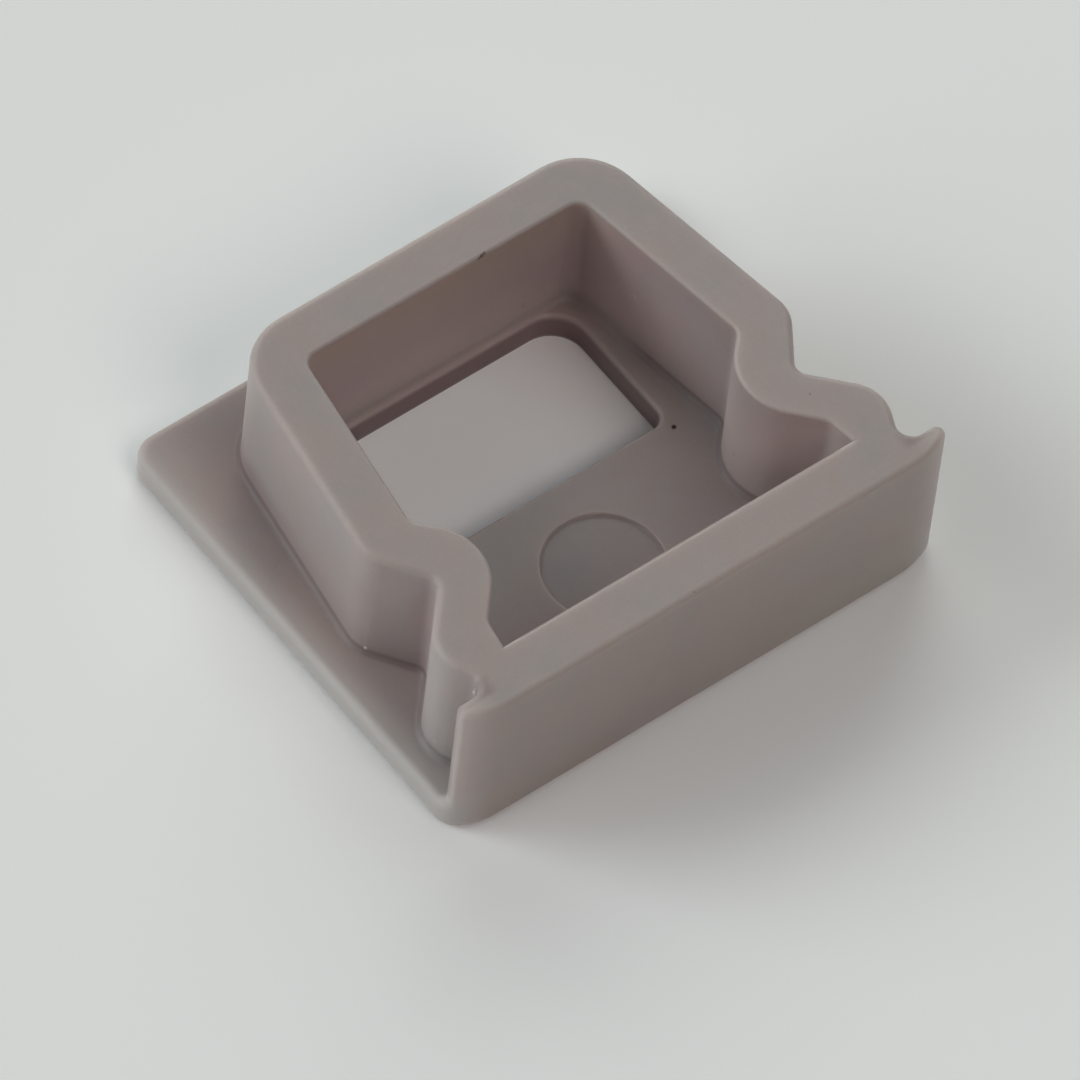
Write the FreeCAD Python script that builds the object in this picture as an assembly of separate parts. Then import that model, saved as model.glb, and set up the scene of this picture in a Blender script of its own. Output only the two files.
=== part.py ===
import FreeCAD, Part
import math, os
from FreeCAD import Vector

os.makedirs("parts", exist_ok=True)

# Profile end cap, one injection moulding.
# Frame: X along the lip, Y from the lip to the back wall, Z out of the cover
# plate towards the plug. Origin at the middle of the plate's outer face.
# The outlines below are given from the front edge of the plate (v = 0 at the
# lip's front face) and are moved to the centre at the end.

# Cover plate
plate_width = 19.2          # along the lip
plate_depth = 17.1          # lip to back edge
plate_thick = 1.1
# The vertical corners at the lip are two arcs: a wide one that starts on the front
# face, and a tighter one that runs into the plate's side
front_wide_r = 3.0
front_tight_r = 0.8
front_wide_turn = 25.0      # degrees turned by the wide arc
back_corner_r = 0.9
rim_r = 0.27                # rounding of the plate's upper rim and of the lip's ends
plate_bottom_r = 0.30       # rounding round the outer face of the plate

# Plug: everything that stands on the plate
total_height = 6.25         # plate and plug together
lip_thick = 1.85            # front lip, same height as the plug
top_round_out = 0.24        # rounding of the plug's outer upper edge
top_round_in = 0.12         # rounding of the plug's inner upper edge
root_r = 0.25               # fillet where the plug's outer walls meet the plate
inner_root_r = 0.26         # fillet at the foot of the hollow's back and side walls

# Outer outline of the plug, right half: corner points (u, v, radius) from the
# back wall to the end of the lip. The side wall leans outwards to a shoulder,
# turns in to the snap groove, comes out again to the front corner, and an open
# notch parts it from the end of the lip.
outer_pts = [
    (6.99, 15.69, 2.15),    # back corner
    (8.32, 6.90, 1.30),     # shoulder
    (6.97, 4.97, 0.45),     # snap groove
    (8.89, 2.89, 1.40),     # front corner
    (8.00, 0.90, 0.50),     # bottom of the notch
]
wing_back = 0.90            # back face of the lip's thin end

# Inner outline of the plug, right half
inner_pts = [
    (5.41, 13.95, 0.55),    # back corner
    (6.39, 7.18, 0.50),     # shoulder
    (4.45, 5.24, 2.04),     # snap bump
    (6.64, 2.86, 0.58),     # front corner
    (6.81, lip_thick, 0),   # corner at the lip's inner face, sharp
]

# Cable hole through the plate
hole_half = 5.00
hole_front = 8.35
hole_back = 13.75
hole_back_r = 1.20
hole_front_r = 0.50
hole_round = 0.14           # rounding of the hole's rim on the plug side

# Round mark left by the ejector pin on the inner floor
mark_d = 4.0
mark_v = 5.05
mark_deep = 0.14
mark_rim = 0.07             # rounding of the mark's upper edge
mark_foot = 0.10            # rounding at the foot of its step


def outline(points):
    """Closed wire through corner points (u, v, radius), each corner a tangent arc."""
    n = len(points)
    starts, ends, arcs = [], [], []
    for i in range(n):
        u, v, r = points[i]
        p = Vector(u, v, 0)
        a = Vector(points[i - 1][0], points[i - 1][1], 0) - p
        b = Vector(points[(i + 1) % n][0], points[(i + 1) % n][1], 0) - p
        a.normalize()
        b.normalize()
        angle = a.getAngle(b)
        if r <= 0 or angle > math.pi - 1e-4:
            starts.append(p)
            ends.append(p)
            arcs.append(None)
            continue
        d = r / math.tan(angle / 2)
        mid_dir = a + b
        mid_dir.normalize()
        centre = p + mid_dir * (r / math.sin(angle / 2))
        starts.append(p + a * d)
        ends.append(p + b * d)
        arcs.append(centre - mid_dir * r)
    edges = []
    for i in range(n):
        if arcs[i] is not None:
            edges.append(Part.Arc(starts[i], arcs[i], ends[i]).toShape())
        q = starts[(i + 1) % n]
        if (q - ends[i]).Length > 1e-6:
            edges.append(Part.LineSegment(ends[i], q).toShape())
    return Part.Wire(edges)


def both_sides(right):
    """Right half, from the back to the front, and its mirror image."""
    return list(right) + [(-u, v, r) for u, v, r in reversed(right)]


def prism(wire, z0, z1):
    solid = Part.Face(wire).extrude(Vector(0, 0, z1 - z0))
    solid.translate(Vector(0, 0, z0))
    return solid


def lies_on(wire, p, tol=0.002):
    """Whether a point, seen from above, lies on an outline."""
    return wire.distToShape(Part.Vertex(Vector(p.x, p.y, 0)))[0] < tol


def middle(e):
    return e.valueAt((e.FirstParameter + e.LastParameter) / 2)


def edges_at(shape, z, test=None):
    """Edges lying wholly in the plane z, chosen by a test of their midpoint."""
    return [e for e in shape.Edges
            if abs(e.BoundBox.ZMin - z) < 1e-4 and abs(e.BoundBox.ZMax - z) < 1e-4
            and (test is None or test(middle(e)))]


half = plate_width / 2
turn = math.radians(front_wide_turn)
step = front_wide_r - front_tight_r
front_u = half - step * math.sin(turn) - front_tight_r + front_wide_r * math.tan(turn / 2)
front_v = (front_wide_r - step * math.cos(turn)
           - front_tight_r * math.tan((math.pi / 2 - turn) / 2))
plate_wire = outline([
    (half, plate_depth, back_corner_r),
    (half, front_v, front_tight_r),
    (front_u, 0, front_wide_r),
    (-front_u, 0, front_wide_r),
    (-half, front_v, front_tight_r),
    (-half, plate_depth, back_corner_r),
])

# Plate and plug, at first with the plate and the lip's ends running on past the
# outline, so that the fillet at the foot of the walls is one clean strip
wide = half + 3
slab = Part.makeBox(2 * wide, plate_depth + 6, plate_thick, Vector(-wide, -3, 0))
plug_right = outer_pts + [(wide, wing_back, 0), (wide, -3, 0)]
plug = prism(outline(both_sides(plug_right)), 0, total_height)
cap = slab.fuse(plug).removeSplitter()
cap = cap.makeFillet(root_r, edges_at(
    cap, plate_thick, lambda p: abs(p.x) < wide - 0.01 and 0 < p.y < plate_depth))
cap = cap.common(prism(plate_wire, 0, total_height))

# One rounding that runs along the plate's upper rim and up the ends of the lip
rim_edges = []
for e in cap.Edges:
    p, q = e.valueAt(e.FirstParameter), e.valueAt(e.LastParameter)
    if (all(lies_on(plate_wire, s) and s.y > wing_back - 0.01 for s in (p, q, middle(e)))
            and min(p.z, q.z) > plate_thick - 1e-4
            and min(p.z, q.z) < total_height - 0.01):
        rim_edges.append(e)
cap = cap.makeFillet(rim_r, rim_edges)

# Upper edge of the plug, then the edge round the outer face
cap = cap.makeFillet(top_round_out, edges_at(cap, total_height))
cap = cap.makeFillet(plate_bottom_r, edges_at(cap, 0))

# Hollow of the plug, with its upper edge rounded
hollow_wire = outline(both_sides(inner_pts))
hollow = prism(hollow_wire, plate_thick, total_height + 1)
cap = cap.cut(hollow.makeFillet(inner_root_r, edges_at(
    hollow, plate_thick, lambda p: p.y > lip_thick + 0.01)))
cap = cap.makeFillet(top_round_in, edges_at(
    cap, total_height, lambda p: lies_on(hollow_wire, p, 0.01)))

# Cable hole
hole_wire = outline([
    (hole_half, hole_back, hole_back_r),
    (hole_half, hole_front, hole_front_r),
    (-hole_half, hole_front, hole_front_r),
    (-hole_half, hole_back, hole_back_r),
])
cap = cap.cut(prism(hole_wire, -1, plate_thick + 1))
cap = cap.makeFillet(hole_round, [
    e for e in cap.Edges
    if e.BoundBox.ZMin > plate_thick - 1e-3 and e.BoundBox.ZMax < plate_thick + inner_root_r
    and all(lies_on(hole_wire, s, 0.01) for s in (
        e.valueAt(e.FirstParameter), e.valueAt(e.LastParameter), middle(e)))])

# Ejector mark, a shallow round step in the inner floor, with soft edges
mark = Part.makeCylinder(mark_d / 2, 1, Vector(0, mark_v, plate_thick - mark_deep))
mark = mark.makeFillet(mark_foot, edges_at(mark, plate_thick - mark_deep))
cap = cap.cut(mark)
mark_wire = Part.Wire(Part.makeCircle(mark_d / 2, Vector(0, mark_v, 0)))
cap = cap.makeFillet(mark_rim, edges_at(
    cap, plate_thick, lambda p: lies_on(mark_wire, p, 0.01)))

cap.translate(Vector(0, -plate_depth / 2, 0))
if cap.ShapeType == "Compound" and len(cap.Solids) == 1:
    cap = cap.Solids[0]
cap.exportStep("parts/end_cap.step")
print("end_cap", cap.ShapeType, "solids", len(cap.Solids), "valid", cap.isValid(),
      "volume mm3", round(cap.Volume, 2), "box", cap.BoundBox)
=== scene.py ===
import bpy, bmesh, math
from mathutils import Vector, Matrix, kdtree, noise


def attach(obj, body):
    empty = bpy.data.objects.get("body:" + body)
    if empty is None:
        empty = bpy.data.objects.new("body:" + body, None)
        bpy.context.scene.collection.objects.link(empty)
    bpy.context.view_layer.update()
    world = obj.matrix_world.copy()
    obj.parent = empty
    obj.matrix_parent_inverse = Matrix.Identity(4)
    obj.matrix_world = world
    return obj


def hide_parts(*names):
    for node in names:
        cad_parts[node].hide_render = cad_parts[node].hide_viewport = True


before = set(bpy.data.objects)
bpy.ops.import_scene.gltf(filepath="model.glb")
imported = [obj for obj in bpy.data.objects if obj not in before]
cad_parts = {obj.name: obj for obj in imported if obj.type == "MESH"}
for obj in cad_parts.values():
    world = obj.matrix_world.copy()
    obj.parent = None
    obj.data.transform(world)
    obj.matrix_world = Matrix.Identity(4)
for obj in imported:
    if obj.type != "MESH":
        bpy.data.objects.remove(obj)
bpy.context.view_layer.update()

MM = 0.001
scene = bpy.context.scene
scene.view_settings.view_transform = "Standard"
scene.view_settings.look = "None"
scene.view_settings.exposure = 0.0
scene.view_settings.gamma = 1.0


# ---------------------------------------------------------------- camera
def make_camera():
    """Stands where the photograph was taken from, worked out from the part's
    own edges: azimuth and elevation of the view, its roll, the focal length in
    picture widths, and where the middle of the lip's lower front edge lies."""
    az, el, roll = math.radians(-43.2845), math.radians(55.1501), math.radians(7.3068)
    focal = 17389.36 / 1080.0
    px = (699.625 - 540.0) / 1080.0
    py = (696.360 - 540.0) / 1080.0
    width_at_part = 0.019463 * 1080.0 / 626.407
    back = Vector((math.sin(az) * math.cos(el), -math.cos(az) * math.cos(el), math.sin(el)))
    right = Vector((math.cos(az), math.sin(az), 0.0))
    up = back.cross(right)
    r2 = right * math.cos(roll) + up * math.sin(roll)
    u2 = -right * math.sin(roll) + up * math.cos(roll)
    d = focal * width_at_part
    point = Vector((0.0, -0.00855, 0.0))
    loc = point - (r2 * (px * width_at_part) - u2 * (py * width_at_part) - back * d)
    data = bpy.data.cameras.new("main_camera")
    data.sensor_width = 36.0
    data.lens = focal * 36.0
    data.clip_start = 0.01
    data.clip_end = 5.0
    cam = bpy.data.objects.new("main_camera", data)
    scene.collection.objects.link(cam)
    cam.matrix_world = Matrix((
        (r2.x, u2.x, back.x, loc.x),
        (r2.y, u2.y, back.y, loc.y),
        (r2.z, u2.z, back.z, loc.z),
        (0, 0, 0, 1)))
    scene.camera = cam
    return cam


make_camera()


# ---------------------------------------------------------------- node helpers
class Nodes:
    """Short names for building a material's node tree."""

    def __init__(self, material):
        material.use_nodes = True
        self.tree = material.node_tree
        self.shader = self.tree.nodes["Principled BSDF"]

    def add(self, kind, **settings):
        n = self.tree.nodes.new(kind)
        for k, v in settings.items():
            setattr(n, k, v)
        return n

    def wire(self, value, socket):
        if isinstance(value, bpy.types.NodeSocket):
            self.tree.links.new(value, socket)
        else:
            socket.default_value = value

    def math(self, op, a, b=0.0, c=0.0, clamp=False):
        n = self.add("ShaderNodeMath", operation=op, use_clamp=clamp)
        for value, socket in zip((a, b, c), n.inputs):
            self.wire(value, socket)
        return n.outputs[0]

    def vec(self, op, a, b=(0.0, 0.0, 0.0), scale=1.0):
        n = self.add("ShaderNodeVectorMath", operation=op)
        self.wire(a, n.inputs[0])
        if op == "SCALE":
            self.wire(scale, n.inputs["Scale"])
        else:
            self.wire(b, n.inputs[1])
        return n.outputs["Value"] if op in ("DISTANCE", "LENGTH", "DOT_PRODUCT") else n.outputs[0]

    def noise(self, where, scale, detail=2.0, rough=0.5, distort=0.0):
        n = self.add("ShaderNodeTexNoise")
        self.wire(where, n.inputs["Vector"])
        n.inputs["Scale"].default_value = scale
        n.inputs["Detail"].default_value = detail
        n.inputs["Roughness"].default_value = rough
        n.inputs["Distortion"].default_value = distort
        return n.outputs["Fac"]

    def ramp(self, x, lo, hi, a=0.0, b=1.0):
        """x from lo..hi mapped smoothly to a..b."""
        n = self.add("ShaderNodeMapRange", interpolation_type="SMOOTHSTEP")
        for value, name in ((x, "Value"), (lo, "From Min"), (hi, "From Max"), (a, "To Min"), (b, "To Max")):
            self.wire(value, n.inputs[name])
        return n.outputs["Result"]

    def mix(self, fac, a, b, blend="MIX"):
        n = self.add("ShaderNodeMix", data_type="RGBA", blend_type=blend)
        self.wire(fac, n.inputs["Factor"])
        for value, name in ((a, "A"), (b, "B")):
            socket = [s for s in n.inputs if s.name == name and s.type == "RGBA"][0]
            self.wire(value, socket)
        return [s for s in n.outputs if s.type == "RGBA"][0]


# ---------------------------------------------------------------- materials
# Small marks in the plastic, and a painted dark line of shade in the left notch's opening, in millimetres: place,
# radius, strength, colour
MARKS_AND_GAP_SHADE = [
    ((5.025, -0.554, 1.06), 0.125, 0.95, (0.030, 0.016, 0.014)),
    ((5.255, -3.140, 2.445), 0.060, 0.40, (0.10, 0.065, 0.055)),
    ((6.756, -4.578, 6.25), 0.060, 0.40, (0.12, 0.085, 0.07)),
    ((-0.755, -8.425, 6.22), 0.055, 0.40, (0.12, 0.085, 0.07)),
    ((3.521, 5.400, 1.91), 0.070, 0.30, (0.12, 0.085, 0.07)),
    ((-1.792, 5.401, 6.14), 0.055, 0.30, (0.12, 0.085, 0.07)),
    ((1.410, 5.405, 6.140), 0.078, 0.66, (0.095, 0.046, 0.033)),
    ((1.525, 5.425, 6.170), 0.095, 0.80, (0.085, 0.040, 0.028)),
    ((1.640, 5.450, 6.200), 0.075, 0.64, (0.095, 0.046, 0.033)),
    # painted shade: a dark line along the left notch's opening
    ((-8.560, -7.600, 6.060), 0.085, 0.60, (0.12, 0.080, 0.070)),
    ((-8.720, -7.640, 6.080), 0.080, 0.55, (0.13, 0.090, 0.080)),
    ((-8.880, -7.650, 6.090), 0.075, 0.50, (0.14, 0.100, 0.090)),
    ((-9.040, -7.650, 6.100), 0.070, 0.40, (0.16, 0.120, 0.110)),
    ((5.780, 2.800, 3.640), 0.130, 0.45, (0.52, 0.48, 0.47)),
    ((5.760, 2.960, 3.560), 0.090, 0.35, (0.52, 0.48, 0.47)),
    ((5.800, 2.640, 3.500), 0.080, 0.25, (0.52, 0.48, 0.47)),
    ((-8.360, -7.350, 5.780), 0.170, 0.38, (0.52, 0.48, 0.47)),
    ((-8.127, -1.925, 1.398), 0.110, 0.60, (0.55, 0.50, 0.49)),
    ((-8.619, -6.134, 1.812), 0.080, 0.45, (0.55, 0.50, 0.49)),
    ((5.870, 3.733, 6.25), 0.060, 0.35, (0.46, 0.43, 0.42)),
    ((-1.689, 5.653, 6.25), 0.055, 0.35, (0.46, 0.43, 0.42)),
]


def grey_plastic():
    m = bpy.data.materials.new("grey_plastic")
    k = Nodes(m)
    p = k.shader
    place = k.vec("SCALE", k.add("ShaderNodeTexCoord").outputs["Object"], scale=1000.0)

    base = (0.398, 0.334, 0.327, 1)
    cool = (0.384, 0.337, 0.331, 1)
    warm = (0.416, 0.337, 0.322, 1)
    broad = k.noise(place, 0.30, 2.0, 0.55)
    cloud = k.noise(place, 1.1, 3.0, 0.6, 0.4)
    fleck = k.noise(place, 9.0, 2.0, 0.6)
    colour = k.mix(k.ramp(broad, 0.35, 0.65), cool, warm)
    colour = k.mix(k.ramp(cloud, 0.30, 0.70, 0.0, 0.8), colour, base)
    shade = k.math("MULTIPLY_ADD", k.math("SUBTRACT", fleck, 0.5), 0.10, 1.0)
    shade = k.math("MULTIPLY", shade, k.math("MULTIPLY_ADD", k.math("SUBTRACT", cloud, 0.5), 0.10, 1.0))
    colour = k.vec("SCALE", colour, scale=shade)

    axes = k.add("ShaderNodeSeparateXYZ")
    k.wire(place, axes.inputs[0])
    x, y, z = axes.outputs
    side = k.math("ABSOLUTE", x)

    def tint(colour, mask, by):
        return k.mix(mask, colour, (*by, 1), "MULTIPLY")

    def both(*masks):
        out = masks[0]
        for other in masks[1:]:
            out = k.math("MULTIPLY", out, other)
        return out

    # painted shade colour: the plug's inner walls are tinted redder than the rest, and painted
    # light makes them yellower and lighter under their upper edge at the back
    inside = both(k.ramp(side, 6.70, 6.80, 1.0, 0.0), k.ramp(y, 5.50, 5.60, 1.0, 0.0),
                  k.ramp(y, -6.90, -6.78))
    hollow = both(inside, k.ramp(z, 1.15, 2.4), k.ramp(z, 5.95, 6.20, 1.0, 0.0))
    # painted shade colour: the hollow tinted redder
    colour = tint(colour, hollow, (1.055, 0.995, 1.020))
    # painted shade colour: redder still towards the hollow's back side corners
    corner = both(hollow, k.ramp(side, 4.4, 5.6), k.ramp(y, 0.0, 5.0))
    colour = tint(colour, corner, (1.03, 0.97, 0.985))
    floor_only = both(inside, k.ramp(z, 1.12, 1.30, 1.0, 0.0))
    colour = tint(colour, both(floor_only, k.ramp(y, 0.0, 4.0, 1.0, 0.0)), (0.96, 1.0, 1.0))
    # painted shade: the strip of floor behind the hole darker and redder
    ledge_shade = both(floor_only, k.ramp(y, 1.5, 5.2))
    colour = tint(colour, ledge_shade, (0.94, 0.88, 0.885))
    # painted shade in the inner angle along the foot of the inner side walls
    inner_foot_shade = both(inside, k.ramp(z, 1.10, 1.14), k.ramp(z, 1.30, 1.44, 1.0, 0.0), k.ramp(side, 4.0, 4.6),
                      k.ramp(y, 1.5, 3.5, 1.0, 0.0))
    colour = tint(colour, inner_foot_shade, (0.70, 0.66, 0.67))
    # painted shade: the hollow's floor darker and redder near the lip
    near_lip_shade = both(floor_only, k.ramp(y, -6.2, -1.5, 1.0, 0.0), k.ramp(x, -4.0, 5.0, 1.0, 0.3))
    colour = tint(colour, near_lip_shade, (1.07, 0.86, 0.86))
    # painted light: the hollow's walls lighter high at the back, at the back left and on the front inner walls from
    # mid height up
    upper = both(hollow, k.ramp(z, 3.2, 5.6), k.ramp(y, 2.6, 5.0))
    colour = tint(colour, upper, (1.13, 1.12, 1.015))
    back_left = both(hollow, k.ramp(y, 2.6, 5.0), k.ramp(x, -3.5, 4.5, 1.0, 0.0))
    colour = tint(colour, back_left, (1.13, 1.13, 1.13))
    snap = both(hollow, k.ramp(y, -5.0, -2.5, 1.0, 0.0), k.ramp(z, 2.4, 4.2))
    colour = tint(colour, snap, (1.14, 1.15, 1.16))
    side_wall = both(hollow, k.ramp(side, 4.0, 4.6), k.ramp(y, -3.0, 1.5, 1.0, 0.0))
    colour = tint(colour, side_wall, (0.98, 1.01, 0.995))

    # painted shade darkens the hole's wall, less towards the right, and the plate along the foot of the plug
    hole_wall_shade = both(k.ramp(side, 5.15, 5.3, 1.0, 0.0), k.ramp(y, -0.4, -0.3),
                   k.ramp(y, 5.3, 5.4, 1.0, 0.0), k.ramp(z, 0.78, 1.09, 1.0, 0.0), k.ramp(z, 0.02, 0.10))
    colour = tint(colour, hole_wall_shade, (0.50, 0.42, 0.44))
    colour = tint(colour, both(hole_wall_shade, k.ramp(x, 2.5, 4.5)), (1.15, 1.17, 1.15))
    # painted shade on the plate, fading with distance from the plug's outer wall
    off_side = k.math("SUBTRACT", side, k.math("MULTIPLY_ADD", k.math("SUBTRACT", 7.14, y), 0.1513, 6.99))
    off_wall = k.math("MAXIMUM", off_side, k.math("SUBTRACT", y, 7.14))
    foot = both(k.math("SUBTRACT", 1.0, inside), k.ramp(off_wall, 0.1, 2.2, 1.0, 0.0),
                k.ramp(z, 1.25, 2.6, 1.0, 0.0), k.ramp(z, 0.8, 0.95), k.ramp(y, -8.25, -7.95),
                k.ramp(y, 0.2, 6.5, 0.12, 1.0))
    colour = tint(colour, foot, (0.835, 0.765, 0.765))

    # painted shade in the angle where the plug's outer walls meet the plate
    outer_foot_shade = both(k.math("SUBTRACT", 1.0, inside), k.ramp(z, 1.10, 1.15), k.ramp(z, 1.27, 1.44, 1.0, 0.0),
                  k.ramp(y, -8.25, -7.95), k.ramp(side, 9.0, 9.2, 1.0, 0.0))
    colour = tint(colour, outer_foot_shade, (0.75, 0.71, 0.715))

    # painted shade makes the plug's outer walls a little darker and the snap grooves redder; a
    # painted light colour sits on the lip's front; the lip's lower front is greyer
    outside = k.math("SUBTRACT", 1.0, inside)
    wall = both(outside, k.ramp(side, 5.5, 6.2), k.ramp(y, -2.5, -1.5), k.ramp(z, 1.3, 1.8), k.ramp(z, 3.8, 6.0, 1.0, 0.0))
    colour = tint(colour, wall, (0.93, 0.93, 0.93))
    groove = both(outside, k.ramp(side, 6.95, 7.9, 1.0, 0.0), k.ramp(y, -4.4, -3.9), k.ramp(y, -3.3, -2.2, 1.0, 0.0),
                  k.ramp(z, 5.6, 6.0, 1.0, 0.0))
    colour = tint(colour, groove, (0.98, 0.90, 0.915))
    front = k.ramp(y, -8.5, -8.2, 1.0, 0.0)
    colour = tint(colour, front, (1.0, 1.01, 0.985))
    lip_low = both(k.ramp(y, -8.5, -8.2, 1.0, 0.0), k.ramp(z, 0.6, 3.0, 1.0, 0.15), k.ramp(x, -3.0, 6.0))
    colour = tint(colour, lip_low, (1.04, 1.13, 1.12))

    # painted light: the plate's rim and the lip's ends are paler, the rim also greyer
    rim_glow_colour = k.mix(k.ramp(z, 1.0, 2.0), (0.475, 0.447, 0.436, 1), (0.475, 0.419, 0.410, 1))
    rim = k.ramp(k.math("MULTIPLY_ADD", y, -0.045, side), 8.40, 9.75)
    colour = k.mix(rim, colour, rim_glow_colour)
    # painted light: the plate's border beside the plug lighter towards the front
    margin_light = both(outside, k.ramp(y, -2.0, 3.0, 1.0, 0.0), k.ramp(y, -8.25, -7.95),
                  k.ramp(z, 1.12, 1.3, 1.0, 0.0), k.ramp(side, 9.0, 9.5, 1.0, 0.3))
    colour = tint(colour, margin_light, (1.13, 1.105, 1.105))

    # and painted shade makes the notches and the lip's inner upper edge darker
    notch = both(k.ramp(side, 7.8, 8.3), k.ramp(y, -8.02, -7.80), k.ramp(y, -7.35, -7.15, 1.0, 0.0),
                 k.ramp(z, 1.3, 1.9))
    colour = tint(colour, notch, (0.76, 0.74, 0.74))
    colour = tint(colour, both(notch, k.ramp(side, 9.1, 9.4)), (0.84, 0.83, 0.83))
    lip_edge_shade = both(k.ramp(side, 6.0, 6.4, 1.0, 0.0), k.ramp(y, -6.815, -6.76), k.ramp(y, -6.5, -6.3, 1.0, 0.0),
                    k.ramp(z, 5.95, 6.12))
    colour = tint(colour, lip_edge_shade, (0.70, 0.67, 0.68))
    # painted light: the lip's two ends lighter at the front
    tip_glow = both(k.ramp(side, 8.7, 9.4), k.ramp(y, -8.4, -8.0, 1.0, 0.0))
    colour = tint(colour, tip_glow, (1.06, 1.06, 1.06))

    # the ejector mark is a touch darker than the floor round it
    in_mark = k.ramp(k.vec("DISTANCE", place, (0.0, -3.5, 0.96)), 1.86, 1.98, 1.0, 0.0)
    colour = tint(colour, in_mark, (0.93, 0.935, 0.95))

    # small marks, and the painted shade line in the left notch
    for where, radius, strength, tint in MARKS_AND_GAP_SHADE:
        d = k.vec("DISTANCE", place, where)
        colour = k.mix(k.ramp(d, radius * 0.45, radius, strength, 0.0), colour, (*tint, 1))

    k.wire(colour, p.inputs["Base Color"])
    k.wire(k.math("MULTIPLY_ADD", cloud, 0.10, 0.47), p.inputs["Roughness"])
    p.inputs["Subsurface Weight"].default_value = 1.0
    p.inputs["Subsurface Radius"].default_value = (1.0, 0.90, 0.85)
    p.inputs["Subsurface Scale"].default_value = 0.0009
    p.inputs["IOR"].default_value = 1.49

    # moulded surface: a fine even texture over a very slight waviness
    grain = k.noise(place, 16.0, 3.0, 0.65)
    wave = k.noise(place, 0.8, 1.0, 0.4)
    height = k.math("ADD", k.math("MULTIPLY", grain, 0.0035), k.math("MULTIPLY", wave, 0.012))
    bump = k.add("ShaderNodeBump")
    bump.inputs["Strength"].default_value = 1.0
    bump.inputs["Distance"].default_value = MM
    k.wire(height, bump.inputs["Height"])
    k.wire(bump.outputs["Normal"], p.inputs["Normal"])
    return m


# ---------------------------------------------------------------- the piece
def lump(name, centre, sizes, x_axis, normal, seed, rough=0.15):
    """A small uneven pebble, in millimetres, with its own axes."""
    bm = bmesh.new()
    bmesh.ops.create_icosphere(bm, subdivisions=3, radius=1.0)
    n = Vector(normal).normalized()
    x = Vector(x_axis)
    x = (x - n * x.dot(n)).normalized()
    y = n.cross(x)
    turn = Matrix((x, y, n)).transposed()
    for v in bm.verts:
        k = 1.0 + rough * noise.noise(v.co * 1.7 + Vector((seed, 0, 0)))
        q = Vector((v.co.x * sizes[0], v.co.y * sizes[1], v.co.z * sizes[2])) * k
        v.co = (turn @ q + Vector(centre)) * MM
    me = bpy.data.meshes.new(name)
    bm.to_mesh(me)
    bm.free()
    ob = bpy.data.objects.new(name, me)
    scene.collection.objects.link(ob)
    return ob


CUTS = [
    # nick in the back wall's inner upper edge
    ("nick", (1.525, 5.425, 6.195), (0.150, 0.026, 0.042), (0.305, 0.05, 0.077), (0, -0.8, 0.6), 3.0),
    # pit in the inner floor beside the hole
    ("pit", (5.025, -0.554, 1.100), (0.075, 0.060, 0.060), (1, 0.3, 0), (0, 0, 1), 7.0),
]
ADDS = [
    # burr in the left notch, and two crumbs of flash at the foot of the wall
    ("burr", (-8.36, -7.35, 5.78), (0.15, 0.09, 0.075), (-0.5, -0.6, 0.3), (-0.78, 0.5, 0.3), 11.0),
    ("crumb_a", (-8.127, -1.925, 1.398), (0.07, 0.05, 0.045), (0.5, -0.8, 0), (-0.82, -0.57, 0.2), 13.0),
    ("crumb_b", (-8.619, -6.134, 1.812), (0.06, 0.05, 0.045), (0, 0.3, 1), (-0.98, -0.2, 0), 17.0),
]


def corner_table(mesh):
    """The construction's exact normals: for each vertex of its surface, the face
    normal and the surface normal at every face corner there."""
    at = [[] for _ in mesh.vertices]
    exact = mesh.corner_normals
    for poly in mesh.polygons:
        flat = poly.normal.copy()
        for li in poly.loop_indices:
            at[mesh.loops[li].vertex_index].append((flat, exact[li].vector.copy()))
    tree = kdtree.KDTree(len(mesh.vertices))
    for v in mesh.vertices:
        tree.insert(v.co, v.index)
    tree.balance()
    return tree, at


def give_normals(mesh, table):
    """Exact normals wherever the surface is still the construction's own, and the
    mesh's own smooth ones on the added and cut marks."""
    tree, at = table
    own = [c.vector.copy() for c in mesh.corner_normals]
    known = []
    for v in mesh.vertices:
        known.append([pair for _, i, _ in tree.find_range(v.co, 1e-7) for pair in at[i]])
    out = [None] * len(mesh.loops)
    for poly in mesh.polygons:
        flat = poly.normal
        for li in poly.loop_indices:
            best, value = 0.93, own[li]
            for face, normal in known[mesh.loops[li].vertex_index]:
                d = face.dot(flat)
                if d > best:
                    best, value = d, normal
            out[li] = value
    mesh.normals_split_custom_set(out)


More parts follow.
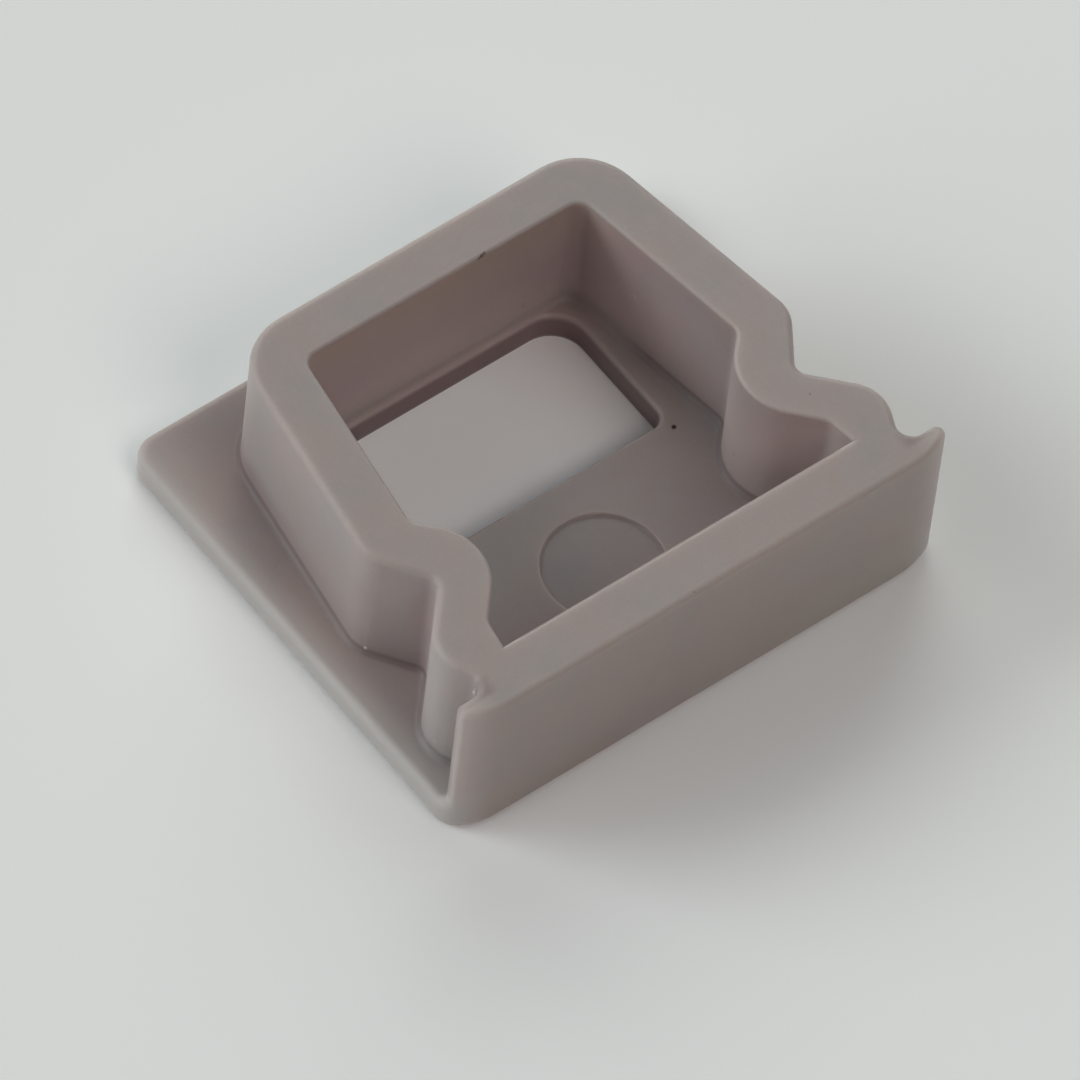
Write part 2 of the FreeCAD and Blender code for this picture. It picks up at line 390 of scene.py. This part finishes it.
def detailed_cap(source, material):
    """The moulding with the small damage that it carries. It starts from the
    construction's own surface, gets its marks cut in or added, and keeps
    the construction's exact normals everywhere else."""
    table = corner_table(source.data)
    me = source.data.copy()
    me.name = "end_cap_moulding"
    bm = bmesh.new()
    bm.from_mesh(me)
    bmesh.ops.remove_doubles(bm, verts=bm.verts, dist=1e-8)
    bm.to_mesh(me)
    bm.free()
    ob = bpy.data.objects.new("end_cap_moulding", me)
    scene.collection.objects.link(ob)
    helpers = []
    for kind, marks in (("DIFFERENCE", CUTS), ("UNION", ADDS)):
        for name, centre, sizes, x_axis, normal, seed in marks:
            h = lump(name, centre, sizes, x_axis, normal, seed)
            helpers.append(h)
            mod = ob.modifiers.new(name, "BOOLEAN")
            mod.operation = kind
            mod.solver = "EXACT"
            mod.object = h
    dg = bpy.context.evaluated_depsgraph_get()
    made = bpy.data.meshes.new_from_object(ob.evaluated_get(dg))
    ob.modifiers.clear()
    ob.data = made
    for h in helpers:
        hm = h.data
        bpy.data.objects.remove(h)
        bpy.data.meshes.remove(hm)
    bm = bmesh.new()
    bm.from_mesh(made)
    bmesh.ops.remove_doubles(bm, verts=bm.verts, dist=1e-8)
    bmesh.ops.dissolve_degenerate(bm, edges=bm.edges, dist=1e-8)
    bm.to_mesh(made)
    bm.free()
    for layer in [a.name for a in made.attributes if a.name in ("custom_normal",)]:
        made.attributes.remove(made.attributes[layer])
    made.polygons.foreach_set("use_smooth", [True] * len(made.polygons))
    made.set_sharp_from_angle(angle=math.radians(35))
    give_normals(made, table)
    made.name = "end_cap_moulding"
    made.materials.clear()
    made.materials.append(material)
    made.polygons.foreach_set("material_index", [0] * len(made.polygons))
    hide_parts("end_cap")
    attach(ob, "root")
    return ob


plastic = grey_plastic()
cap = detailed_cap(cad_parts["end_cap"], plastic)


# ---------------------------------------------------------------- stage
def make_floor():
    me = bpy.data.meshes.new("floor")
    s = 1.2
    z = -0.01 * MM      # just clear of the cap's outer face
    me.from_pydata([(-s, -s, z), (s, -s, z), (s, s, z), (-s, s, z)], [], [(0, 1, 2, 3)])
    ob = bpy.data.objects.new("floor", me)
    scene.collection.objects.link(ob)
    m = bpy.data.materials.new("floor_paint")
    m.use_nodes = True
    p = m.node_tree.nodes["Principled BSDF"]
    p.inputs["Base Color"].default_value = (0.95, 0.94, 0.945, 1)
    p.inputs["Roughness"].default_value = 1.0
    p.inputs["Specular IOR Level"].default_value = 0.0
    me.materials.append(m)
    return ob


make_floor()


# ---------------------------------------------------------------- light
# Large soft lamps: direction they stand in (azimuth from the lip's front,
# elevation), strength and colour
LAMPS = [
    ("back", 135, 28, 0.48, (0.92, 1.00, 0.90)),
    ("back_left", 165, 28, 0.30, (0.94, 1.00, 0.92)),
    ("left_back", 225, 28, 1.22, (0.92, 1.00, 1.00)),
    ("left", 255, 28, 0.51, (0.94, 1.00, 0.98)),
    ("front_high", 0, 48, 0.71, (1.00, 0.91, 0.86)),
    ("back_high", 144, 48, 0.29, (0.90, 0.96, 1.00)),
    ("right_high", 68, 66, 0.31, (0.90, 1.00, 0.99)),
]


def lamp(name, azimuth, elevation, strength, colour):
    a, e = math.radians(azimuth), math.radians(elevation)
    towards = Vector((math.sin(a) * math.cos(e), -math.cos(a) * math.cos(e), math.sin(e)))
    data = bpy.data.lights.new(name, "SUN")
    data.angle = math.radians(30)
    data.energy = strength
    data.color = colour
    ob = bpy.data.objects.new(name, data)
    scene.collection.objects.link(ob)
    ob.location = towards * 0.4
    ob.rotation_mode = "QUATERNION"
    ob.rotation_quaternion = (-towards).to_track_quat("-Z", "Y")
    return ob


for each in LAMPS:
    lamp(*each)

world = bpy.data.worlds.new("studio")
world.use_nodes = True
bg = world.node_tree.nodes["Background"]
bg.inputs["Color"].default_value = (1.0, 1.0, 1.0, 1)
bg.inputs["Strength"].default_value = 0.01
scene.world = world
